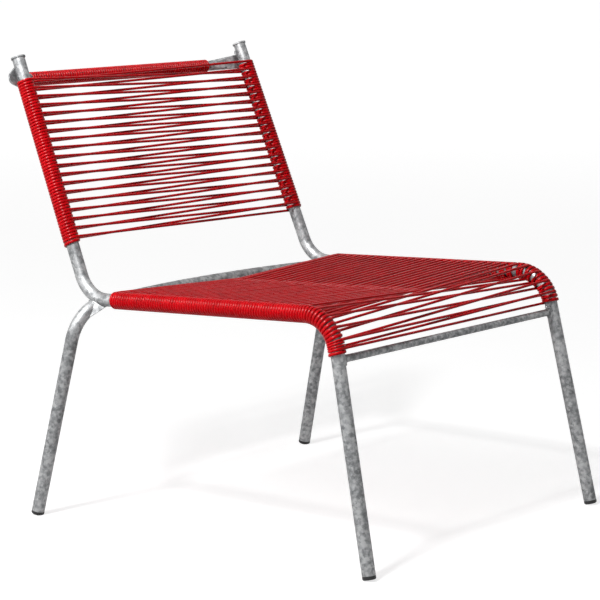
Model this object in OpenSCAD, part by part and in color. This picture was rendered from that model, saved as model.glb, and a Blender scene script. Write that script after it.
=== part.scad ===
// Lounge chair of bent steel tube, with a seat and a back wound from plastic cord.
// Millimetres, +Z up. The sitter faces -Y, and the sitter's left is +X.
// The origin is on the floor, under the middle of the chair's bounding box.

/* [Frame tube] */
// Outside diameter of the side tubes and the rear legs
tube_d = 22; // [19:0.5:25]
// Wall of every tube
tube_wall = 1.5; // [1:0.1:2.5]
// Centre-line radius of the bend between upright and seat rail
rear_bend_r = 60; // [50:1:75]
// Centre-line radius of the bend between seat rail and front leg
front_bend_r = 62; // [50:1:75]
// Centre-line radius of the bend at the top of a rear leg
leg_bend_r = 62; // [50:1:70]

/* [Side frame] */
// Height of the corner where upright and rail would meet
rear_corner_h = 370; // [340:1:400]
// Height of the corner where rail and front leg would meet
front_corner_h = 398; // [370:1:430]
// Distance between those two corners, front to back
seat_depth = 524; // [500:1:580]
// Rise of the upright above the rear corner
back_rise = 394; // [385:0.5:450]
// How far the upright's top leans behind the rear corner
back_lean = 168.5; // [120:0.5:210]
// How far the front foot stands ahead of the front corner
front_foot_ahead = 88; // [50:1:120]
// Half the distance between the uprights at their tops
top_half = 282; // [262:1:320]
// Half the distance between the rear corners
rear_half = 291; // [280:1:300]
// Half the distance between the front corners
front_half = 288; // [250:1:330]
// Half the distance between the front feet
front_foot_half = 306; // [270:1:350]

/* [Rear legs] */
// Half the distance between the corners at the legs' tops
leg_corner_half = 331.5; // [325:0.5:338]
// Drop of that corner below the side frame's rear corner
leg_corner_drop = 6; // [3:0.5:10]
// How far that corner lies ahead of the side frame's rear corner
leg_corner_ahead = 17; // [13:0.5:21]
// Half the distance between the rear feet
rear_foot_half = 351; // [335:1:380]
// How far the rear foot stands behind the leg's top corner
rear_foot_behind = 84.5; // [50:0.5:120]
// How far the leg's inner end passes the rail's middle, under it
leg_end_past = 6; // [4:0.5:9]

/* [Foot plugs and end caps] */
// Thickness of the foot plug's head
plug_head = 6; // [5:0.5:9]
// Chamfer round the foot plug's sole
plug_chamfer = 1.5; // [0.5:0.1:2.5]
// Length of the plug's stem inside the tube
plug_stem = 20; // [10:1:30]
// Depth of the flat where a plug's edge meets the floor
floor_flat = 0.5; // [0.3:0.1:1]
// Diameter of the cap on top of an upright
cap_d = 25; // [22:0.5:28]
// Thickness of that cap's head
cap_head = 2.5; // [1.5:0.5:4]
// Length of that cap's stem inside the tube
cap_stem = 12; // [6:1:20]

/* [Cross bars] */
// Diameter of the bar behind the back and of the bar behind the seat
bar_d = 18; // [14:0.5:20]
// Diameter of the bar between the front legs
front_bar_d = 12; // [8:0.5:16]
// Drop of the front bar below the corner where rail and front leg would meet
front_bar_drop = 67; // [60:0.5:98]
// Drop of the back bar below the uprights' top ends
back_bar_drop = 39.5; // [35:0.5:62]
// How far the back bar's middle runs behind the uprights' middle
back_bar_behind = 46; // [40:1:60]
// Half the length of the back bar's straight, wound middle
back_bar_half = 227; // [200:1:240]
// Bow of the bar behind the seat
rear_bar_bow = 31; // [15:1:45]
// Thickness of a bar's flattened end
flat_t = 4; // [3:0.5:5]
// Greatest height of the back bar's flattened end, behind the upright
ear_h = 38.5; // [34:0.5:42]
// Height of the slanted stretch where it meets that flattened end
ear_root_h = 25; // [20:0.5:28]
// How far the flattened end passes the upright's middle, outwards
ear_past = 18.5; // [16:0.5:21]
// Radius of the flattened end's outer rounding
ear_nose_r = 11.5; // [10:0.5:13]
// Rise of the flattened end's middle above the bar
ear_rise = 6.5; // [5:0.5:9]
// How much further the flattened end's highest place reaches up than its nose's middle does
ear_lift = 2.5; // [1:0.5:4]
// Lean of the flattened end, which is less than the upright's, so that cord passes between
ear_lean = 11; // [8:0.5:13]
// Height of the front bar's flattened end, along the leg
paddle_h = 18; // [14:1:26]
// Length of the front bar's flattened end, along the bar
paddle_l = 10; // [8:1:30]
// Diameter of the drain holes near the flattened ends
vent_d = 4; // [3:0.5:5]

/* [Gussets] */
// Thickness of the gusset plates
gusset_t = 3; // [2:0.5:5]
// Drop of the gusset's lower corner below the leg's top corner
gusset_drop = 21.5; // [18:0.5:25]
// How far the gusset's front corner reaches ahead of the leg's top corner
gusset_reach = 27; // [22:1:35]

/* [Cord] */
// Thickness of a free strand of cord
strand_d = 4; // [3:0.1:4.4]
// Thickness of the cord where it is wound on a tube
wound_t = 3.5; // [3:0.1:4]
// Gap between neighbouring bands of a winding
band_gap = 0.7; // [0.6:0.05:1]

/* [Back winding] */
// Bare tube above the winding
back_start = 38.5; // [30:0.5:44]
// Cycles of the winding: three turns on each upright and two strands
back_cycles = 19; // [10:1:20]
// Length of one cycle along the upright
back_cycle = 15.4; // [15:0.1:16.5]

/* [Seat winding] */
// Least bare tube between the rear bend and the winding
rail_bare = 6; // [4:0.5:20]
// Length of one cycle along the rail
rail_cycle = 15.7; // [15:0.1:15.8]
// Cycles round the front bend
bend_cycles = 5; // [4:1:5]
// Length of one cycle along the front bend
bend_cycle = 17.4; // [16.5:0.1:18]
// How far the right winding reaches past the front bend
seat_past = 9; // [4:1:14]
// How far the left winding's rear end lies ahead of the right one's
seat_start_lag = 11; // [4:0.5:13]

/* [Hidden] */

tube_r = tube_d / 2;
bore_r = tube_r - tube_wall;
bar_r = bar_d / 2;
front_bar_r = front_bar_d / 2;

// Clearance between neighbouring solids, round a stem in its bore, and past a cut
seat_gap = 0.15;
stem_gap = 0.2;
over = 1;
// Where a straight stretch joins a bend: its lap, and how much thinner it is
lap = 0.2;
slip = 0.06;
// The slice where a pressed stretch begins, and how much wider than its bar that is
skin = 0.5;
flare = 0.05;
block = 200;
fine = 64;
coarse = 32;
bow_steps = 720;

// Each loop of a winding stands for the three turns of one cycle, side by side
turns_per_cycle = 3;
back_turn = back_cycle / turns_per_cycle;
rings_per_loop = 8;
most_loops = 24;
strand_r = strand_d / 2;
wound_r = tube_r + wound_t;
wound_bar_r = bar_r + wound_t;
// A free strand leaves the winding from the middle of the cord's thickness
strand_out = tube_r + wound_t / 2;

steel = "silver";
cord_red = "crimson";
black = [0.12, 0.12, 0.12];

x_axis = [1, 0, 0];
z_axis = [0, 0, 1];

// Corners and directions

function unit(v) = v / norm(v);
function turned(a, b, c) = acos(unit(b - a) * unit(c - b));
function setback(a, b, c, r) = r * tan(turned(a, b, c) / 2);

// Height at which the places of the feet are given: about where the tubes end
foot_h = plug_head + plug_chamfer;
front_dir = unit([front_foot_half - front_half, -front_foot_ahead, foot_h - front_corner_h]);
leg_corner_h = rear_corner_h - leg_corner_drop;
leg_dir = unit([rear_foot_half - leg_corner_half, rear_foot_behind, foot_h - leg_corner_h]);
upright_dir = unit([rear_half - top_half, -back_lean, -back_rise]);

// A foot plug's sole is square to its leg, and its lowest edge is cut flat by the floor
function sole_h(d) = (tube_r - plug_chamfer) * norm([d[0], d[1]]) - floor_flat;
function tube_end_h(d) = sole_h(d) - plug_head * d[2];

// The rear corners stand where the whole chair is centred on the origin, front to back
front_reach = seat_depth
    + (front_corner_h - tube_end_h(front_dir)) * front_dir[1] / front_dir[2]
    - (plug_head - plug_chamfer) * front_dir[1]
    + tube_r * norm([front_dir[0], front_dir[2]]);
back_reach = back_lean * (back_rise - back_bar_drop) / back_rise
    + back_bar_behind + wound_bar_r;
rear_y = (front_reach - back_reach) / 2;

// The left side tube's centre-line
top_end = [top_half, rear_y + back_lean, rear_corner_h + back_rise];
rear_corner = [rear_half, rear_y, rear_corner_h];
front_corner = [front_half, rear_y - seat_depth, front_corner_h];
front_end = front_corner
    + front_dir * (front_corner_h - tube_end_h(front_dir)) / -front_dir[2];
rail_dir = unit(front_corner - rear_corner);

// The left rear leg's centre-line; its bend is cut off before it runs level
leg_corner = [leg_corner_half, rear_y - leg_corner_ahead, leg_corner_h];
leg_foot = leg_corner + leg_dir * (leg_corner_h - tube_end_h(leg_dir)) / -leg_dir[2];
leg_inner = leg_corner - x_axis * 2 * leg_bend_r;
leg_end_x = rear_half - leg_end_past;

function bend_centre(a, b, c, r) =
    b + unit(unit(a - b) + unit(c - b)) * r / cos(turned(a, b, c) / 2);
function bend_start(a, b, c, r) = b + unit(a - b) * setback(a, b, c, r);
function bend_point(a, b, c, r, s) =
    let(m = bend_centre(a, b, c, r))
    m + (bend_start(a, b, c, r) - m) * cos(s) + unit(b - a) * r * sin(s);
function bend_heading(a, b, c, r, s) =
    let(m = bend_centre(a, b, c, r))
    unit(unit(b - a) * cos(s) - unit(bend_start(a, b, c, r) - m) * sin(s));

// Distances along the side tube, measured from its top end
rear_setback = setback(top_end, rear_corner, front_corner, rear_bend_r);
front_setback = setback(rear_corner, front_corner, front_end, front_bend_r);
degree = PI / 180;
to_rear_bend = norm(rear_corner - top_end) - rear_setback;
past_rear_bend = to_rear_bend
    + rear_bend_r * turned(top_end, rear_corner, front_corner) * degree;
to_front_bend = past_rear_bend
    + norm(front_corner - rear_corner) - rear_setback - front_setback;
past_front_bend = to_front_bend
    + front_bend_r * turned(rear_corner, front_corner, front_end) * degree;

front_leg_l = norm(front_end - front_corner) - front_setback;
rear_turn = turned(top_end, rear_corner, front_corner);
front_turn = turned(rear_corner, front_corner, front_end);
leg_turn = turned(leg_foot, leg_corner, leg_inner);
rear_leg_l = norm(leg_corner - leg_foot) - setback(leg_foot, leg_corner, leg_inner, leg_bend_r);

// From a bend's start to its centre, and how far the front bend's plane is twisted from the rear's
toward_rear_bend = unit(bend_centre(top_end, rear_corner, front_corner, rear_bend_r)
    - bend_start(top_end, rear_corner, front_corner, rear_bend_r));
from_rear_bend = unit(bend_centre(top_end, rear_corner, front_corner, rear_bend_r)
    - bend_point(top_end, rear_corner, front_corner, rear_bend_r, rear_turn));
toward_front_bend = unit(bend_centre(rear_corner, front_corner, front_end, front_bend_r)
    - bend_start(rear_corner, front_corner, front_end, front_bend_r));
side_twist = atan2(rail_dir * cross(from_rear_bend, toward_front_bend),
    from_rear_bend * toward_front_bend);

// The point and the heading at distance t along the left side tube
function along(t) =
    t < to_rear_bend
        ? top_end + upright_dir * t
    : t < past_rear_bend
        ? bend_point(top_end, rear_corner, front_corner, rear_bend_r,
            (t - to_rear_bend) / rear_bend_r / degree)
    : t < to_front_bend
        ? front_corner - rail_dir * (front_setback + to_front_bend - t)
    : t < past_front_bend
        ? bend_point(rear_corner, front_corner, front_end, front_bend_r,
            (t - to_front_bend) / front_bend_r / degree)
    : front_corner + front_dir * (front_setback + t - past_front_bend);
function heading(t) =
    t < to_rear_bend
        ? upright_dir
    : t < past_rear_bend
        ? bend_heading(top_end, rear_corner, front_corner, rear_bend_r,
            (t - to_rear_bend) / rear_bend_r / degree)
    : t < to_front_bend
        ? rail_dir
    : t < past_front_bend
        ? bend_heading(rear_corner, front_corner, front_end, front_bend_r,
            (t - to_front_bend) / front_bend_r / degree)
    : front_dir;
// The tube's sitter side: forwards on the upright, upwards on the rail
function sitter_side(t) = unit(cross(heading(t), x_axis));
function outer_side(t) = unit(cross(sitter_side(t), heading(t)));

// Round runs

// Puts local Z along z at p, and local X as near to x as it can be
module stand(p, z, x) {
    w = unit(z);
    v = unit(cross(w, x));
    u = cross(v, w);
    multmatrix([
        [u[0], v[0], w[0], p[0]],
        [u[1], v[1], w[1], p[1]],
        [u[2], v[2], w[2], p[2]],
        [0, 0, 0, 1]
    ]) children();
}

module rod(a, b, r) {
    stand(a, b - a, [1, 0.1, 1]) cylinder(h = norm(b - a), r = r, $fn = fine);
}

// A bend from the origin, heading along +Z and turning towards +X
module bend(bend_r, angle, r) {
    translate([bend_r, 0, 0]) rotate([90, 0, 180]) rotate_extrude(angle = angle, $fn = fine)
        translate([bend_r, 0]) circle(r = r, $fn = fine);
}

// Moves on to the end of that bend
module past_bend(bend_r, angle) {
    translate([bend_r, 0, 0]) rotate([0, angle, 0]) translate([-bend_r, 0, 0]) children();
}

// A straight stretch along +Z, lapped into the bends at its ends, and a hair thinner than they are
module stretch(l, r, before, after) {
    translate([0, 0, -before]) cylinder(h = before + l + after, r = r - slip, $fn = fine);
}

// The side tube's whole run, at radius r
module side_run(r, extra = 0) {
    rail_l = to_front_bend - past_rear_bend;
    stand(top_end, upright_dir, toward_rear_bend) {
        stretch(to_rear_bend, r, extra, lap);
        translate([0, 0, to_rear_bend]) {
            bend(rear_bend_r, rear_turn, r);
            past_bend(rear_bend_r, rear_turn) rotate(side_twist) {
                stretch(rail_l, r, lap, lap);
                translate([0, 0, rail_l]) {
                    bend(front_bend_r, front_turn, r);
                    past_bend(front_bend_r, front_turn) stretch(front_leg_l, r, lap, extra);
                }
            }
        }
    }
}

// The rear leg's straight length and bend, at radius r
module leg_run(r, extra = 0) {
    stand(leg_foot, -leg_dir, -x_axis) {
        stretch(rear_leg_l, r, extra, lap);
        translate([0, 0, rear_leg_l]) bend(leg_bend_r, leg_turn, r);
    }
}

module on_right() {
    mirror(x_axis) children();
}

module on_both_sides() {
    children();
    on_right() children();
}

// Everything beyond the plane at x, or everything inside it, around p
module beyond(x, p) {
    translate([x, p[1] - block / 2, p[2] - block / 2]) cube(block);
}

module inside(x, p) {
    translate([x - block, p[1] - block / 2, p[2] - block / 2]) cube(block);
}

// Steel frame

module side_tube() {
    color(steel) difference() {
        side_run(tube_r);
        side_run(bore_r, over);
    }
}

// Bent inwards at its top, where it is notched to sit under the side tube
module rear_leg() {
    color(steel) difference() {
        leg_run(tube_r);
        leg_run(bore_r, over);
        side_run(tube_r + seat_gap);
        inside(leg_end_x, leg_corner);
    }
}

// The middle of the rear leg's end, where the bar behind the seat meets it
leg_bend_mid = bend_centre(leg_foot, leg_corner, leg_inner, leg_bend_r);
leg_up = unit(leg_corner - leg_corner[0] * x_axis - leg_bend_mid + leg_bend_mid[0] * x_axis);
leg_end = [
    leg_end_x,
    (leg_bend_mid + leg_up * sqrt(pow(leg_bend_r, 2) - pow(leg_end_x - leg_bend_mid[0], 2)))[1],
    (leg_bend_mid + leg_up * sqrt(pow(leg_bend_r, 2) - pow(leg_end_x - leg_bend_mid[0], 2)))[2]
];

// The bar behind the seat, bowed backwards between the rear legs' inner ends
module rear_bar() {
    color(steel) difference() {
        rear_bar_bow_run(bar_r);
        rear_bar_bow_run(bar_r - tube_wall);
        on_both_sides() beyond(leg_end_x - seat_gap, leg_end);
    }
}

module rear_bar_bow_run(r) {
    bow_r = (pow(leg_end_x, 2) + pow(rear_bar_bow, 2)) / 2 / rear_bar_bow;
    spread = asin((leg_end_x + bar_r) / bow_r);
    translate([0, leg_end[1] + rear_bar_bow - bow_r, leg_end[2]]) rotate(90 - spread)
        rotate_extrude(angle = 2 * spread, $fn = bow_steps)
            translate([bow_r, 0]) circle(r = r, $fn = fine);
}

// The back bar's middle, and where its flattened end lies behind the left upright
back_bar_h = top_end[2] - back_bar_drop;
to_back_bar = (top_end[2] - back_bar_h) / -upright_dir[2];
back_bar_mid = [0, along(to_back_bar)[1] + back_bar_behind, back_bar_h];
ear_out = [0, cos(ear_lean), -sin(ear_lean)];
ear_up = [0, sin(ear_lean), cos(ear_lean)];
// Its front face just clears the back of the winding's first turn
ear_clear_t = back_start - back_turn / 2;
ear_face = along(ear_clear_t) - sitter_side(ear_clear_t) * (wound_r + 2 * seat_gap);
ear_low = ear_face + ear_out * flat_t / 2;
ear_mid = ear_low + ear_up * (back_bar_h + ear_rise - ear_low[2]) / ear_up[2];
// Distance from the upright's middle to where the slanted stretch becomes flat
ear_inner = tube_r + flat_t;
ear_corner_r = 3;
slant_start = back_bar_mid + x_axis * back_bar_half;
slant_end = ear_mid - x_axis * ear_inner;

// The bar behind the back: a round wound middle, and slanted ends pressed flat
module back_bar() {
    color(steel) difference() {
        union() {
            back_bar_middle(bar_r);
            on_both_sides() back_bar_end();
        }
        back_bar_middle(bar_r - tube_wall);
        on_both_sides() back_bar_drain();
        on_both_sides() rod(top_end, along(to_back_bar), tube_r + seat_gap);
    }
}

module back_bar_middle(r) {
    rod(back_bar_mid - x_axis * back_bar_half, slant_start, r);
}

module back_bar_end() {
    hull() {
        translate(slant_start - x_axis * skin) rotate([0, 90, 0])
            cylinder(h = skin, r = bar_r + flare, $fn = coarse);
        at_ear() translate([-ear_inner + skin, 0, 0])
            cube([skin, ear_root_h - flare * 2, flat_t - flare * 2], center = true);
    }
    at_ear() translate([0, 0, -flat_t / 2]) linear_extrude(flat_t) {
        translate([-ear_inner, -ear_root_h / 2]) square([ear_inner, ear_root_h]);
        hull() {
            translate([ear_past - ear_nose_r, 0]) circle(r = ear_nose_r, $fn = fine);
            for (way = [-1, 1])
                translate([-ear_corner_r, way * (ear_h / 2 - ear_corner_r) - ear_lift])
                    circle(r = ear_corner_r, $fn = fine);
        }
    }
}

// Local X points outwards from the upright's middle, local Y downwards and local Z backwards
module at_ear() {
    stand(ear_mid, ear_out, x_axis) children();
}

// A drain hole in the front of the slanted stretch, and its way in to the bar's bore
module back_bar_drain() {
    // It lies past the middle of that stretch, and nearer to its lower edge
    low_place = slant_start * 0.32 + slant_end * 0.68 - z_axis * ear_root_h * 0.3;
    facing = unit(cross(z_axis, slant_start - slant_end));
    rod(low_place - facing * vent_d * 0.4, low_place + facing * bar_d, vent_d / 2);
    rod(low_place, slant_start - x_axis, vent_d * 0.35);
}

// The front bar's end, at the middle of the left front leg
front_bar_h = front_corner_h - front_bar_drop;
front_bar_end = front_corner + front_dir * (front_corner_h - front_bar_h) / -front_dir[2];

// The bar between the front legs, its ends pressed flat and shaped round the legs
module front_bar() {
    start = front_bar_end - x_axis * (tube_r + paddle_l);
    vent = start + x_axis * paddle_l / 3;
    color(steel) difference() {
        union() {
            rod(start - x_axis * 2 * start[0], start, front_bar_r);
            on_both_sides() hull() {
                translate(start - x_axis * skin) rotate([0, 90, 0])
                    cylinder(h = skin, r = front_bar_r + flare, $fn = coarse);
                translate(front_bar_end - x_axis * tube_r / 2)
                    cube([skin, flat_t, paddle_h], center = true);
            }
        }
        rod(start - x_axis * 2 * start[0], start, front_bar_r - tube_wall);
        on_both_sides() side_run(tube_r + seat_gap);
        on_both_sides() rod(vent, start - x_axis, vent_d / 2);
        on_both_sides() translate(vent) cylinder(h = paddle_h, r = vent_d / 2, $fn = fine);
    }
}

// A three-cornered plate in the crotch between the rear leg and the rail
module gusset() {
    low = leg_corner + [-gusset_drop * 0.88, -gusset_reach * 0.19, -gusset_drop];
    tip = leg_corner + [-gusset_reach * 1.5, -gusset_reach, -gusset_drop * 0.07];
    crotch = leg_corner + [-gusset_drop * 1.45, -gusset_reach * 0.3, gusset_drop * 0.2];
    far_tip = tip + (tip - low) * 0.35;
    plane = unit(cross(far_tip - low, crotch - low));
    across = unit(far_tip - low);
    up = cross(plane, across);
    color(steel) difference() {
        stand(low - plane * gusset_t / 2, plane, across) linear_extrude(gusset_t)
            polygon([
                [0, 0],
                [norm(far_tip - low), 0],
                [(crotch - low) * across, (crotch - low) * up]
            ]);
        side_run(tube_r + seat_gap);
        leg_run(tube_r + seat_gap);
    }
}

// Caps and plugs

module end_cap() {
    color(steel) stand(top_end, -upright_dir, x_axis) {
        cylinder(h = cap_head, d = cap_d, $fn = fine);
        translate([0, 0, -cap_stem]) cylinder(h = cap_stem, r = bore_r - stem_gap, $fn = fine);
    }
}

module foot_plug(p, dir) {
    color(black) difference() {
        stand(p, dir, x_axis) rotate_extrude($fn = fine) polygon([
            [0, -plug_stem],
            [bore_r - stem_gap, -plug_stem],
            [bore_r - stem_gap, 0],
            [tube_r, 0],
            [tube_r, plug_head - plug_chamfer],
            [tube_r - plug_chamfer, plug_head],
            [0, plug_head]
        ]);
        translate([p[0] - block / 2, p[1] - block / 2, -block]) cube(block);
    }
}

// Cord

// A band is one unbroken tube with a four-sided section, wound round a run.
// It runs from one distance along the run to another, and one loop takes a pitch.
// Each ring is its four corners: both edges of the band, at its inner and its outer face.
function ring_corners(i, from, pitch, r) = [
    for (corner = [[0, clear_of(r)], [1, clear_of(r)], [1, r + wound_t], [0, r + wound_t]])
        [from + pitch * (i / rings_per_loop + corner[0]) - band_gap * corner[0], corner[1]]
];
// The inner face clears the round tube at the middle of each side
function clear_of(r) = (r + seat_gap) / cos(180 / rings_per_loop);
function last_ring(from, to, pitch) =
    floor((to - from - pitch + band_gap) / pitch * rings_per_loop + 0.01);
function band_pitch(from, to, cycle) = max(cycle, (to - from) / most_loops);

function tube_rings(from, to, pitch) = [
    for (i = [0:last_ring(from, to, pitch)])
        let(angle = i * 360 / rings_per_loop)
        [for (c = ring_corners(i, from, pitch, tube_r))
            along(c[0]) + (sitter_side(c[0]) * cos(angle) + outer_side(c[0]) * sin(angle)) * c[1]]
];
function bar_rings(from, to, pitch) = [
    for (i = [0:last_ring(from, to, pitch)])
        let(angle = i * 360 / rings_per_loop)
        [for (c = ring_corners(i, from, pitch, bar_r))
            back_bar_mid + [c[0], cos(angle) * c[1], sin(angle) * c[1]]]
];

module band(name, rings) {
    last = len(rings) - 1;
    least_gap = min([
        for (i = [0:last - rings_per_loop])
            min(norm(rings[i][1] - rings[i + rings_per_loop][0]),
                norm(rings[i][2] - rings[i + rings_per_loop][3]))
    ]);
    echo(str(name, ": ", last / rings_per_loop, " loops, least gap to itself ", least_gap, " mm"));
    color(cord_red) polyhedron(
        points = [for (ring = rings) each ring],
        faces = [
            [0, 1, 2],
            [0, 2, 3],
            for (i = [0:last - 1], k = [0:3])
                let(a = 4 * i + k, b = 4 * i + (k + 1) % 4)
                each [[a, a + 4, b], [b, a + 4, b + 4]],
            [4 * last, 4 * last + 2, 4 * last + 1],
            [4 * last, 4 * last + 3, 4 * last + 2]
        ],
        convexity = 10
    );
}

module tube_winding(name, from, to, cycle) {
    band(name, tube_rings(from, to, band_pitch(from, to, cycle)));
}

// A strand leaves the winding on the tube's sitter side, or on the side away from the sitter
function left_point(t, side) = along(t) + sitter_side(t) * side * strand_out;
function right_point(t, side) =
    let(p = left_point(t, side))
    [-p[0], p[1], p[2]];

module strand(right_t, left_t, right_side) {
    rod(right_point(right_t, right_side), left_point(left_t, -right_side), strand_r);
}

// Cuts the strands where they enter the windings
module trimmed_strands() {
    color(cord_red) difference() {
        union() children();
        on_both_sides() side_run(wound_r + seat_gap);
    }
}

// Back: on its way up, the cord crosses to the left one and three quarter turns lower,
// winds on for two and a half turns, and comes back a quarter turn lower
back_end = back_start + back_cycles * back_cycle;
back_first_strand = back_start + back_turn;

module back_winding(name, shift) {
    tube_winding(name, back_start + shift, back_end + shift, back_cycle);
}

module back_strands() {
    trimmed_strands() for (i = [0:back_cycles - 1]) {
        t = back_first_strand + i * back_cycle;
        strand(t, t + back_turn * 7 / 4, 1);
        strand(t - back_turn / 2, t - back_turn * 3 / 4, -1);
    }
}

module bar_winding() {
    from = -back_bar_half;
    band("bar_winding", bar_rings(from, back_bar_half, band_pitch(from, back_bar_half, 0)));
}

// Seat: the same winding, from the rear end of the rail over the front bend.
// At the front, the left winding runs behind the right one by two turns.
rail_turn = rail_cycle / turns_per_cycle;
bend_turn = bend_cycle / turns_per_cycle;
rail_cycles = floor((to_front_bend - past_rear_bend - rail_bare) / rail_cycle);
rail_start = to_front_bend - rail_cycles * rail_cycle;
seat_end = past_front_bend + seat_past;
front_lag = 2 * bend_turn;
// The right winding's first cycle is only its last turn, and the first strands end on the
// left winding's first turns
right_start = rail_start + 2 * rail_turn;
left_start = rail_start + seat_start_lag;
left_first = left_start + rail_turn / 4;
// How far round the front bend the distance t is, from 0 to 1
function bend_share(t) =
    max(0, min(1, (t - to_front_bend) / (past_front_bend - to_front_bend)));

module seat_pair(t, turn_l) {
    strand(t, max(left_first, t - turn_l * (2 - 0.5 * bend_share(t))), 1);
    if (t - rail_cycle > rail_start)
        strand(t - turn_l / 2,
            max(left_first + turn_l / 2, t - turn_l * (4.5 - 0.4 * bend_share(t))), -1);
}

module rail_winding(name, from) {
    tube_winding(name, from, to_front_bend, rail_cycle);
}

module bend_winding(name, lag) {
    tube_winding(name, to_front_bend, seat_end - lag, bend_cycle);
}

module seat_strands() {
    trimmed_strands() for (i = [1:rail_cycles])
        seat_pair(to_front_bend + rail_turn * 5 / 2 - i * rail_cycle, rail_turn);
}

module front_strands() {
    trimmed_strands() for (i = [0:bend_cycles - 1])
        seat_pair(past_front_bend - i * bend_cycle, bend_turn);
}

side_tube();  // side_tube_left
on_right() side_tube();  // side_tube_right
rear_leg();  // rear_leg_left
on_right() rear_leg();  // rear_leg_right
back_bar();
rear_bar();
front_bar();
gusset();  // gusset_left
on_right() gusset();  // gusset_right
end_cap();  // end_cap_left
on_right() end_cap();  // end_cap_right
foot_plug(front_end, front_dir);  // foot_plug_front_left
on_right() foot_plug(front_end, front_dir);  // foot_plug_front_right
foot_plug(leg_foot, leg_dir);  // foot_plug_rear_left
on_right() foot_plug(leg_foot, leg_dir);  // foot_plug_rear_right
back_winding("back_winding_left", -back_turn / 2);  // back_winding_left
on_right() back_winding("back_winding_right", 0);  // back_winding_right
back_strands();
bar_winding();
rail_winding("rail_winding_left", left_start);  // rail_winding_left
on_right() rail_winding("rail_winding_right", right_start);  // rail_winding_right
seat_strands();
bend_winding("bend_winding_left", front_lag);  // bend_winding_left
on_right() bend_winding("bend_winding_right", 0);  // bend_winding_right
front_strands();
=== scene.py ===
# A low lounge chair of bent steel tube, with a seat and a back wound from red plastic cord.
# +Z is up, the sitter faces -Y, and the sitter's left is +X.
# The scene is in metres. The sizes of tube, cord and welds are in millimetres.

import math
import bpy
import numpy as np
from mathutils import Matrix, Vector


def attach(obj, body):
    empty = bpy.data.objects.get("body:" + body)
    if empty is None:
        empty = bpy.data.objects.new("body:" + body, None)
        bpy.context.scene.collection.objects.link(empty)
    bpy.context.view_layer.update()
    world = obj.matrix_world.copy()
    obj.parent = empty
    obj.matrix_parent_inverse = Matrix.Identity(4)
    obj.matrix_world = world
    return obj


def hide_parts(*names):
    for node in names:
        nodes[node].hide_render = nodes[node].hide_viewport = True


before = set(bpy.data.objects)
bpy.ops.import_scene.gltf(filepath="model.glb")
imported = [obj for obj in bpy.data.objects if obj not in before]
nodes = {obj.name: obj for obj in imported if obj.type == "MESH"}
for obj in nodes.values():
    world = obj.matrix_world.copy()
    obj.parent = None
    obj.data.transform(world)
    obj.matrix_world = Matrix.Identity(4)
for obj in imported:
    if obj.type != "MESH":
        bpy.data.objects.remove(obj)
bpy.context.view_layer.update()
mm = 0.001
print("frame loaded:", len(nodes), "nodes")

# Camera, at the photograph's angle

view = {
    "place": (-3.0276, -2.5632, 1.0057),
    "yaw": 49.938,              # degrees from +Y towards +X
    "pitch": 8.780,             # degrees downwards
    "roll": -0.079,
    "lens": 140.96,
    "sensor": 36.0,
    "shiftX": -0.00483,
    "shiftY": -0.03897,
    "farthest": 50.0,
}


def makeCamera():
    data = bpy.data.cameras.new("photoCamera")
    data.sensor_width = view["sensor"]
    data.lens = view["lens"]
    data.shift_x = view["shiftX"]
    data.shift_y = view["shiftY"]
    data.clip_end = view["farthest"]
    camera = bpy.data.objects.new("photoCamera", data)
    turn = Matrix.Rotation(math.radians(-view["yaw"]), 4, "Z")
    tilt = Matrix.Rotation(math.radians(90 - view["pitch"]), 4, "X")
    lean = Matrix.Rotation(math.radians(view["roll"]), 4, "Z")
    camera.matrix_world = Matrix.Translation(view["place"]) @ turn @ tilt @ lean
    bpy.context.scene.collection.objects.link(camera)
    bpy.context.scene.camera = camera


makeCamera()
print("camera set")

# The side tubes' centre-line, which the cord is wound on: the left tube's, mirrored for the right

sideTube = {
    "corners": (
        (282.0, 375.31, 764.0),     # the top of the upright
        (291.0, 206.81, 370.0),     # the rear bend
        (288.0, -317.19, 398.0),    # the front bend
        (306.0, -405.20, 7.48),     # the foot
    ),
    "bends": (60.0, 62.0),
    "radius": 11.0,
}


def makeRun(corners, bends):
    # a tube's straight stretches and bends in turn: start, heading, way to the bend's centre,
    # the bend's radius, and length
    places = [Vector(corner) for corner in corners]
    here = places[0]
    run = []
    for i, bendRadius in enumerate(bends):
        into = (places[i + 1] - places[i]).normalized()
        outOf = (places[i + 2] - places[i + 1]).normalized()
        turn = into.angle(outOf)
        setback = bendRadius * math.tan(turn / 2)
        bendStart = places[i + 1] - into * setback
        toCentre = (outOf - into * into.dot(outOf)).normalized()
        run.append((here, into, None, 0, (bendStart - here).length))
        run.append((bendStart, into, toCentre, bendRadius, turn * bendRadius))
        here = places[i + 1] + outOf * setback
    last = places[-1] - here
    run.append((here, last.normalized(), None, 0, last.length))
    return run


def pointOn(run, t):
    # the point and the heading at distance t along a run
    for i, (start, into, toCentre, bendRadius, length) in enumerate(run):
        if t <= length or i == len(run) - 1:
            break
        t -= length
    if toCentre is None:
        return start + into * t, into
    angle = t / bendRadius
    point = start + into * (bendRadius * math.sin(angle))
    point += toCentre * (bendRadius * (1 - math.cos(angle)))
    return point, into * math.cos(angle) + toCentre * math.sin(angle)


def mirrored(vector, side):
    # side is 1 on the left and -1 on the right, here and below
    return Vector((vector.x * side, vector.y, vector.z))


leftRun = makeRun(sideTube["corners"], sideTube["bends"])
frontBendStart = sum(stretch[4] for stretch in leftRun[:3])

# Cord: glossy, soft plastic, flattened where it is pulled round a tube. Between the tubes it runs
# in cycles, each of two strands and of two and a half turns on each tube.

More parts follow.
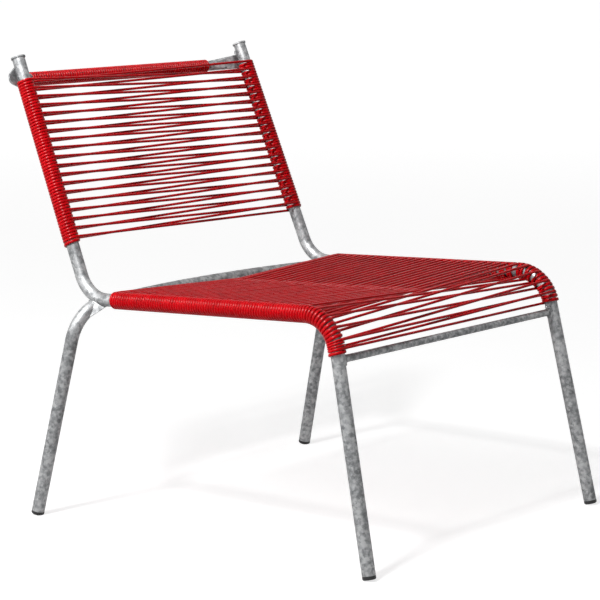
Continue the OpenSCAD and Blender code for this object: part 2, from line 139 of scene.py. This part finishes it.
cord = {
    "freeRadius": 2.25,
    "woundThickness": 3.5,
    "woundFill": 0.485,         # half the cord's width, as a share of the pitch of the turns
    "widestPitch": 6.0,         # turns further apart than this leave bare tube between them
    "clearance": 0.12,
    "cycleTurns": 2.5,
    "cycleRoom": 3,             # how many turns' room a cycle takes on a tube
    "ringsPerTurn": 20,
    "sides": 8,
    "plumpness": 2.2,           # 2 is an ellipse, more is squarer
    "strandRings": (2, 5, 9),   # the first rings of a strand, by their distance from its end
    "flatStretch": 14.0,        # how long the cord takes to become round again
    "unevenness": 0.22,
    "seed": 7,
}
cordRandom = np.random.default_rng(cord["seed"])
woundRadius = sideTube["radius"] + cord["clearance"] + cord["woundThickness"] / 2


def onWinding(side, t, angle):
    # the middle of the cord at distance t along a side tube, and the cord's normal there:
    # angle 0 is the sitter's side, 90 the outer side, 180 the far side from the sitter
    middle, heading = pointOn(leftRun, t)
    sitter = heading.cross(Vector((1, 0, 0))).normalized()
    outer = sitter.cross(heading).normalized()
    out = sitter * math.cos(math.radians(angle)) + outer * math.sin(math.radians(angle))
    return mirrored(middle + out * woundRadius, side), mirrored(out, side) * -side


def windCord(path, side, fromT, toT, fromAngle, toAngle, pitch):
    # turns of cord on a side tube
    count = max(2, round(abs(toAngle - fromAngle) / 360 * cord["ringsPerTurn"]))
    drift, spare = cordRandom.normal(0, cord["unevenness"], 2)  # spare only keeps the draws in step
    width = min(pitch, cord["widestPitch"]) * cord["woundFill"]
    for i in range(count + 1):
        share = i / count
        t = fromT + (toT - fromT) * share + drift * math.sin(math.pi * share)
        point, normal = onWinding(side, t, fromAngle + (toAngle - fromAngle) * share)
        path.append((point, normal, width, cord["woundThickness"] / 2))


def crossOver(path, side, t):
    # a straight strand from the path's end to the sitter's side of the other tube
    start, normal, width, thickness = path[-1]
    end, endNormal = onWinding(side, t, 0)
    span = (end - start).length
    wander = Vector(cordRandom.normal(0, cord["unevenness"], 3))
    free = cord["freeRadius"]
    near = (*cord["strandRings"], cord["flatStretch"], span / 4)
    rings = [(at / span, at) for at in near]
    rings.append((0.5, span / 2))
    rings += [(1 - at / span, at) for at in reversed(near)]
    for share, at in rings:
        flat = max(0, 1 - at / cord["flatStretch"])
        point = start.lerp(end, share) + wander * math.sin(math.pi * share)
        path.append((point, normal.lerp(endNormal, share).normalized(),
                     free + (width - free) * flat, free + (thickness - free) * flat))


def windTail(path, side, fromT, pitch, turns, slack):
    # the last turns, which end behind the tube and take slack more turns' room than the others
    windCord(path, side, fromT, fromT + pitch * (turns + slack), 0, 360 * turns, pitch)


def sweepRings(path):
    # the rings of points round a path, from its places, normals, half widths and half thicknesses
    places, normals, widths, thicknesses = zip(*path)
    angles = (np.arange(cord["sides"]) + 0.5) * 2 * math.pi / cord["sides"]
    power = 2 / cord["plumpness"]
    across = np.sign(np.cos(angles)) * np.abs(np.cos(angles)) ** power
    upwards = np.sign(np.sin(angles)) * np.abs(np.sin(angles)) ** power
    middle = np.array(places)
    heading = np.gradient(middle, axis=0)
    heading /= np.linalg.norm(heading, axis=1)[:, None]
    beside = np.cross(heading, np.array(normals))
    beside /= np.linalg.norm(beside, axis=1)[:, None]
    normal = np.cross(beside, heading)
    return (middle[:, None, :]
            + beside[:, None, :] * np.array(widths)[:, None, None] * across[None, :, None]
            + normal[:, None, :] * np.array(thicknesses)[:, None, None] * upwards[None, :, None])


def sweepPaths(name, paths, material, slot, *replaced):
    # one piece along open paths of cord or weld metal, closed at the paths' ends
    sides = cord["sides"]
    points = []
    faces = []
    first = 0
    for path in paths:
        points.append(sweepRings(path).reshape(-1, 3))
        last = first + (len(path) - 1) * sides
        for here in range(first, last, sides):
            for k in range(sides):
                n = (k + 1) % sides
                faces.append((here + k, here + n, here + sides + n, here + sides + k))
        faces.append(tuple(first + k for k in reversed(range(sides))))
        faces.append(tuple(last + k for k in range(sides)))
        first = last + sides
    mesh = bpy.data.meshes.new(name)
    mesh.from_pydata((np.vstack(points) * mm).tolist(), [], faces)
    mesh.polygons.foreach_set("use_smooth", [len(face) == 4 for face in faces])
    piece = bpy.data.objects.new(name, mesh)
    bpy.context.scene.collection.objects.link(piece)
    piece.data.materials.append(material)
    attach(piece, "root")
    if replaced:
        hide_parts(*replaced)
    print(name, "made:", len(faces), "faces")


# Finishes: a noise is its scale and detail, a bump its strength and depth in metres,
# and colours and roughness are stops along the noise

cordFinish = {
    "cloud": (45, 3),
    "colours": ((0.3, (0.50, 0.0005, 0.004)), (0.65, (0.66, 0.001, 0.006))),
    "grain": (240, 4),
    "roughness": ((0.3, 0.26), (0.7, 0.36)),
    "gloss": 0.09,
    "ripple": (500, 2),
    "bump": (0.08, 0.0003),
}
plugFinish = {
    "cloud": (120, 4),
    "colours": ((0.3, (0.012, 0.012, 0.013)), (0.8, (0.030, 0.030, 0.031))),
    "grain": (300, 4),
    "roughness": ((0.3, 0.36), (0.7, 0.52)),
    "gloss": 0.3,
    "ripple": (700, 4),
    "bump": (0.15, 0.0003),
}
zincFinish = {
    "spangle": 210,             # the scale of the zinc's crystals
    "spangleShare": 0.25,
    "grain": (120, 8),
    "cloud": (17, 4),
    "cloudShare": 0.3,
    "colours": ((0.38, (0.15, 0.155, 0.16)), (0.49, (0.27, 0.275, 0.28)), (0.60, (0.42, 0.425, 0.43))),
    "tubeRoughness": ((0.3, 0.56), (0.7, 0.38)),
    "capRoughness": ((0.3, 0.75), (0.7, 0.62)),
    "metal": 0.5,
    "gloss": 0.16,
    "bump": (0.2, 0.0004),
}


def newMaterial(name):
    material = bpy.data.materials.new(name)
    material.use_nodes = True
    tree = material.node_tree
    shader = tree.nodes["Principled BSDF"]
    place = tree.nodes.new("ShaderNodeTexCoord")
    return material, tree, shader, place.outputs["Object"]


def addNoise(tree, place, scale, detail):
    noise = tree.nodes.new("ShaderNodeTexNoise")
    noise.inputs["Scale"].default_value = scale
    noise.inputs["Detail"].default_value = detail
    tree.links.new(place, noise.inputs["Vector"])
    return noise.outputs["Fac"]


def addRamp(tree, value, stops):
    ramp = tree.nodes.new("ShaderNodeValToRGB")
    marks = ramp.color_ramp.elements
    while len(marks) < len(stops):
        marks.new(0.5)
    for mark, (at, shade) in zip(marks, stops):
        mark.position = at
        mark.color = (*shade, 1) if isinstance(shade, tuple) else (shade, shade, shade, 1)
    tree.links.new(value, ramp.inputs["Fac"])
    return ramp.outputs["Color"]


def mixShades(tree, share, first, second):
    mix = tree.nodes.new("ShaderNodeMix")
    mix.data_type = "RGBA"
    mix.inputs["Factor"].default_value = share
    tree.links.new(first, mix.inputs["A"])
    tree.links.new(second, mix.inputs["B"])
    return mix.outputs["Result"]


def addBump(tree, shader, height, strength, distance):
    bump = tree.nodes.new("ShaderNodeBump")
    bump.inputs["Strength"].default_value = strength
    bump.inputs["Distance"].default_value = distance
    tree.links.new(height, bump.inputs["Height"])
    tree.links.new(bump.outputs["Normal"], shader.inputs["Normal"])


def makePlastic(name, finish):
    material, tree, shader, place = newMaterial(name)
    colour = addRamp(tree, addNoise(tree, place, *finish["cloud"]), finish["colours"])
    tree.links.new(colour, shader.inputs["Base Color"])
    rough = addRamp(tree, addNoise(tree, place, *finish["grain"]), finish["roughness"])
    tree.links.new(rough, shader.inputs["Roughness"])
    shader.inputs["Specular IOR Level"].default_value = finish["gloss"]
    addBump(tree, shader, addNoise(tree, place, *finish["ripple"]), *finish["bump"])
    return material


def makeZinc(name, roughness):
    material, tree, shader, place = newMaterial(name)
    spangle = tree.nodes.new("ShaderNodeTexVoronoi")
    spangle.inputs["Scale"].default_value = zincFinish["spangle"]
    tree.links.new(place, spangle.inputs["Vector"])
    grain = addNoise(tree, place, *zincFinish["grain"])
    cloud = addNoise(tree, place, *zincFinish["cloud"])
    fine = mixShades(tree, zincFinish["spangleShare"], grain, spangle.outputs["Color"])
    mottle = mixShades(tree, zincFinish["cloudShare"], fine, cloud)
    tree.links.new(addRamp(tree, mottle, zincFinish["colours"]), shader.inputs["Base Color"])
    tree.links.new(addRamp(tree, fine, roughness), shader.inputs["Roughness"])
    shader.inputs["Metallic"].default_value = zincFinish["metal"]
    shader.inputs["Specular IOR Level"].default_value = zincFinish["gloss"]
    addBump(tree, shader, fine, *zincFinish["bump"])
    return material


redCord = makePlastic("redCord", cordFinish)
galvanisedSteel = makeZinc("galvanisedSteel", zincFinish["tubeRoughness"])
capSteel = makeZinc("capSteel", zincFinish["capRoughness"])
blackPlastic = makePlastic("blackPlastic", plugFinish)
print("finishes made")


def dressNodes():
    for name, node in nodes.items():
        if "winding" in name or "strands" in name:
            material = redCord
        elif "plug" in name:
            material = blackPlastic
        elif "cap" in name:
            material = capSteel
        else:
            material = galvanisedSteel
        node.data.materials.clear()
        node.data.materials.append(material)


dressNodes()
print("nodes dressed")

# Back: the cord goes down the uprights

backCord = {
    "cycles": 19,
    "first": 41.9,              # where the first cycle starts, from the top of the upright
    "cycle": 15.25,
    "growth": 0.02,             # the cycles get longer on the way down
    "startTurns": (0.55, 0.5),  # the cord's first bit, in turns' room before the first cycle
    "startAngles": (165, 180),
    "leftLead": 0.75,           # how much sooner the left tube's turns start, in turns' room
    "lastTurns": 1.5,           # the last turns on the left tube
    "tailTurns": 1.6,
    "tailSlack": 0.3,
}


def makeBackCord():
    path = []
    cycles = backCord["cycles"]
    places = [backCord["first"] + backCord["cycle"] * i + backCord["growth"] * i * i
              for i in range(cycles + 1)]
    turn = (places[1] - places[0]) / cord["cycleRoom"]
    start, end = (places[0] - turn * before for before in backCord["startTurns"])
    windCord(path, -1, start, end, *backCord["startAngles"], turn)
    for i in range(cycles):
        place = places[i]
        turn = (places[i + 1] - place) / cord["cycleRoom"]
        leftPlace = place - turn * backCord["leftLead"]
        leftTurns = cord["cycleTurns"] if i < cycles - 1 else backCord["lastTurns"]
        crossOver(path, 1, leftPlace)
        windCord(path, 1, leftPlace, leftPlace + turn * leftTurns, 0, 360 * leftTurns, turn)
        crossOver(path, -1, place)
        if i < cycles - 1:
            rightEnd = place + turn * cord["cycleTurns"]
            windCord(path, -1, place, rightEnd, 0, 360 * cord["cycleTurns"], turn)
    windTail(path, -1, place, turn, backCord["tailTurns"], backCord["tailSlack"])
    sweepPaths("backCord", [path], redCord, "red_cord",
               "back_winding_left", "back_winding_right", "back_strands")


# Seat: the same winding, from the rear end of the rail over the front bend

seatCord = {
    "railCycles": 26,
    "first": 480.9,             # where the first strand ends on the right tube
    "last": 892.4,              # and the last one on the rail
    "leftLead": 2.0,            # how much sooner the left tube's turns end, in turns' room
    "frontPlaces": (909.0, 927.8, 947.8, 965.6, 976.9),     # the strands over the front bend
    "leftFrontIn": (889.4, 905.9, 924.9, 943.9, 962.4),
    "leftFrontOut": (906.4, 923.4, 941.4, 959.4, 977.4),
    "startTurns": 0.3,
    "secondTurns": 0.5,         # the left tube's turns after the first strands
    "tailTurns": 1.6,
    "tailSlack": 0.15,
}


def makeSeatCord():
    cycleTurns = cord["cycleTurns"]
    step = (seatCord["last"] - seatCord["first"]) / seatCord["railCycles"]
    turn = step / cord["cycleRoom"]
    right = [seatCord["first"] + step * i for i in range(seatCord["railCycles"] + 1)]
    leftOut = [place - turn * seatCord["leftLead"] for place in right]
    leftIn = [place - turn * (seatCord["leftLead"] + cycleTurns) for place in right]
    leftIn[1] = leftOut[1] - turn * seatCord["secondTurns"]
    leftStart = leftIn[1] - turn / 2
    right += seatCord["frontPlaces"]
    leftOut += seatCord["leftFrontOut"]
    leftIn += seatCord["leftFrontIn"]
    path = []
    startTurns = seatCord["startTurns"]
    windCord(path, 1, leftStart - turn * startTurns, leftStart, 180 - 360 * startTurns, 180, turn)
    crossOver(path, -1, right[0])
    for i in range(1, len(right)):
        pitch = (right[i] - right[i - 1]) / cord["cycleRoom"]
        windCord(path, -1, right[i - 1], right[i] - pitch / 2, 0, 360 * cycleTurns, pitch)
        crossOver(path, 1, leftIn[i])
        leftTurns = seatCord["secondTurns"] if i == 1 else cycleTurns
        pitch = (leftOut[i] - leftIn[i]) / leftTurns
        windCord(path, 1, leftIn[i], leftOut[i], 0, 360 * leftTurns, pitch)
        crossOver(path, -1, right[i])
    windTail(path, -1, right[-1], turn, seatCord["tailTurns"], seatCord["tailSlack"])
    sweepPaths("seatCord", [path], redCord, "red_cord",
               "rail_winding_left", "rail_winding_right", "seat_strands",
               "bend_winding_left", "bend_winding_right", "front_strands")


# Back bar: wound from end to end

barCord = {
    "height": 724.5,
    "behind": 404.42,
    "from": -234.5,
    "to": 221.5,
    "straightFrom": -227.0,     # before this the bar slants
    "slant": (0.62, 0.16),      # forwards and upwards
    "radius": 9.0,
    "turns": 79,
}


def makeBarCord():
    path = []
    pitch = (barCord["to"] - barCord["from"]) / barCord["turns"]
    radius = barCord["radius"] + cord["clearance"] + cord["woundThickness"] / 2
    forwards, upwards = barCord["slant"]
    for i in range((barCord["turns"] - 1) * cord["ringsPerTurn"] + 1):
        turns = i / cord["ringsPerTurn"]
        angle = turns * 2 * math.pi + math.pi / 2
        x = barCord["from"] + pitch * (0.5 + turns)
        slanted = max(0, barCord["straightFrom"] - x)
        middle = Vector((x, barCord["behind"] - slanted * forwards, barCord["height"] + slanted * upwards))
        out = Vector((0, math.sin(angle), math.cos(angle)))
        path.append((middle + out * radius, out, pitch * cord["woundFill"], cord["woundThickness"] / 2))
    sweepPaths("barCord", [path], redCord, "red_cord", "bar_winding")


makeBackCord()
makeSeatCord()
makeBarCord()

# Welds: small rippled beads where the rear legs and the front bar meet the side tubes

weld = {
    "legCorners": ((351.0, 274.29, 7.58), (331.5, 189.81, 364.0), (250.0, 189.81, 364.0)),
    "legBend": 62.0,
    "legRadius": 11.0,
    "legAngles": range(20, 341, 8),
    "legStep": 0.4,             # the search along the leg's bend, for where it meets the rail
    "legSteps": 240,
    "railStretch": (520.0, 330.0),      # the rail that the leg may meet, before the front bend
    "railPlaces": 190,
    "legGap": 0.3,              # how near the leg comes to the rail where the bead lies
    "legBead": 2.0,
    "barPlace": (291.09, -332.29, 331.0),
    "barReach": 11.0,           # from the front leg's middle to the bar's end
    "barHalfHeight": 9.5,
    "barHalfThickness": 3.2,
    "barRings": 12,
    "barBead": 2.9,
    "ripple": 0.35,
    "wander": 0.5,
    "flatness": 0.8,
    "seed": 3,
}
weldRandom = np.random.default_rng(weld["seed"])


def weldRing(point, out, bead):
    radius = bead * (1 + weld["ripple"] * weldRandom.uniform(-1, 1))
    place = point + Vector(weldRandom.uniform(-1, 1, 3)) * weld["wander"]
    return place, out, radius, radius * weld["flatness"]


def makeLegWeld():
    # where a rear leg's bend runs up against the side tube
    legRun = makeRun(weld["legCorners"], (weld["legBend"],))
    legStraight = legRun[0][4]
    start, end = (frontBendStart - before for before in weld["railStretch"])
    rail = [pointOn(leftRun, start + (end - start) * i / weld["railPlaces"])[0]
            for i in range(weld["railPlaces"] + 1)]
    ring = []
    for angle in weld["legAngles"]:
        turn = math.radians(angle)
        for step in range(weld["legSteps"]):
            middle, heading = pointOn(legRun, legStraight + step * weld["legStep"])
            across = Vector((0, 1, 0)).cross(heading).normalized()
            beside = heading.cross(across).normalized()
            out = across * math.cos(turn) + beside * math.sin(turn)
            point = middle + out * weld["legRadius"]
            if min((point - place).length for place in rail) < sideTube["radius"] + weld["legGap"]:
                ring.append((point, out))
                break
    return ring


def makeBarWeld(way):
    # along the front bar's pressed end, from low to high: way is -1 before it and 1 behind it
    top, foot = (Vector(corner) for corner in sideTube["corners"][2:])
    downLeg = (foot - top) / (top.z - foot.z)
    beside = Vector((-weld["barReach"], way * weld["barHalfThickness"], 0))
    out = Vector((-1, way, 0)).normalized()
    path = []
    for i in range(weld["barRings"]):
        drop = weld["barHalfHeight"] * (1 - 2 * i / (weld["barRings"] - 1))
        path.append((Vector(weld["barPlace"]) + downLeg * drop + beside, out))
    return path


def makeWelds():
    runs = [(makeLegWeld(), weld["legBead"])]
    runs += [(makeBarWeld(way), weld["barBead"]) for way in (-1, 1)]
    for side, name in ((1, "weldsLeft"), (-1, "weldsRight")):
        paths = [[weldRing(mirrored(point, side), mirrored(out, side), bead) for point, out in run]
                 for run, bead in runs]
        sweepPaths(name, paths, galvanisedSteel, "galvanised_steel")


makeWelds()

# Floor: pale, and shown in its own light to the camera and in reflections

floorLook = {
    "size": 70.0,
    "cloud": (3, 3),
    "shades": ((0.2, 0.45), (0.8, 0.47)),
    "roughness": 0.9,
    "gloss": 0.1,
    "glowNear": 0.74,
    "glowFar": 0.93,
    "glowReach": 7.0,           # from so far off the glow is glowFar, in metres
}


def onSeenRays(tree):
    # 1 on rays from the camera and on reflected and refracted ones, and 0 on all others
    rays = tree.nodes.new("ShaderNodeLightPath")
    seen = rays.outputs["Is Camera Ray"]
    for kind in ("Is Glossy Ray", "Is Transmission Ray"):
        either = tree.nodes.new("ShaderNodeMath")
        either.operation = "MAXIMUM"
        tree.links.new(seen, either.inputs[0])
        tree.links.new(rays.outputs[kind], either.inputs[1])
        seen = either.outputs[0]
    return seen


def addFloorGlow(tree, place):
    reach = tree.nodes.new("ShaderNodeVectorMath")
    reach.operation = "LENGTH"
    tree.links.new(place, reach.inputs[0])
    spread = tree.nodes.new("ShaderNodeMapRange")
    spread.inputs["From Max"].default_value = floorLook["glowReach"]
    spread.inputs["To Min"].default_value = floorLook["glowNear"]
    spread.inputs["To Max"].default_value = floorLook["glowFar"]
    tree.links.new(reach.outputs["Value"], spread.inputs["Value"])
    strength = tree.nodes.new("ShaderNodeMath")
    strength.operation = "MULTIPLY"
    tree.links.new(onSeenRays(tree), strength.inputs[0])
    tree.links.new(spread.outputs["Result"], strength.inputs[1])
    glow = tree.nodes.new("ShaderNodeEmission")
    tree.links.new(strength.outputs[0], glow.inputs["Strength"])
    return glow.outputs["Emission"]


def makeFloor():
    half = floorLook["size"] / 2
    mesh = bpy.data.meshes.new("floor")
    corners = [(-half, -half, 0), (half, -half, 0), (half, half, 0), (-half, half, 0)]
    mesh.from_pydata(corners, [], [(0, 1, 2, 3)])
    floor = bpy.data.objects.new("floor", mesh)
    bpy.context.scene.collection.objects.link(floor)
    material, tree, shader, place = newMaterial("paleFloor")
    cloud = addRamp(tree, addNoise(tree, place, *floorLook["cloud"]), floorLook["shades"])
    tree.links.new(cloud, shader.inputs["Base Color"])
    shader.inputs["Roughness"].default_value = floorLook["roughness"]
    shader.inputs["Specular IOR Level"].default_value = floorLook["gloss"]
    both = tree.nodes.new("ShaderNodeAddShader")
    tree.links.new(shader.outputs["BSDF"], both.inputs[0])
    tree.links.new(addFloorGlow(tree, place), both.inputs[1])
    tree.links.new(both.outputs["Shader"], tree.nodes["Material Output"].inputs["Surface"])
    mesh.materials.append(material)


# Background and lamps

studio = {
    "worldLight": 0.10,
    "aim": (0, 0, 0.4),
    "lamps": {
        "key": {"place": (-2.0, -0.2, 2.9), "size": 0.4, "power": 80, "lightsAll": True},
        "side": {"place": (-2.6, 1.7, 1.5), "size": 1.6, "power": 34, "lightsAll": True},
        # the glint lamp only makes highlights
        "glint": {"place": (-2.0, -0.2, 2.9), "size": 0.4, "power": 220, "lightsAll": False},
    },
}


def makeWorld():
    # white to the camera and in reflections, and a little light from all round
    world = bpy.data.worlds.new("studioWorld")
    world.use_nodes = True
    bpy.context.scene.world = world
    tree = world.node_tree
    background = tree.nodes["Background"]
    background.inputs["Color"].default_value = (1, 1, 1, 1)
    strength = tree.nodes.new("ShaderNodeMix")
    strength.inputs["A"].default_value = studio["worldLight"]
    strength.inputs["B"].default_value = 1
    tree.links.new(onSeenRays(tree), strength.inputs["Factor"])
    tree.links.new(strength.outputs["Result"], background.inputs["Strength"])


def makeLamp(name, lamp):
    data = bpy.data.lights.new(name + "Lamp", "AREA")
    data.shape = "SQUARE"
    data.size = lamp["size"]
    data.energy = lamp["power"]
    light = bpy.data.objects.new(name + "Lamp", data)
    light.location = lamp["place"]
    light.visible_diffuse = lamp["lightsAll"]
    aim = Vector(studio["aim"]) - light.location
    light.rotation_euler = aim.to_track_quat("-Z", "Y").to_euler()
    bpy.context.scene.collection.objects.link(light)


makeFloor()
makeWorld()
for lampName, lampLook in studio["lamps"].items():
    makeLamp(lampName, lampLook)
bpy.context.scene.view_settings.view_transform = "Standard"
print("studio set")
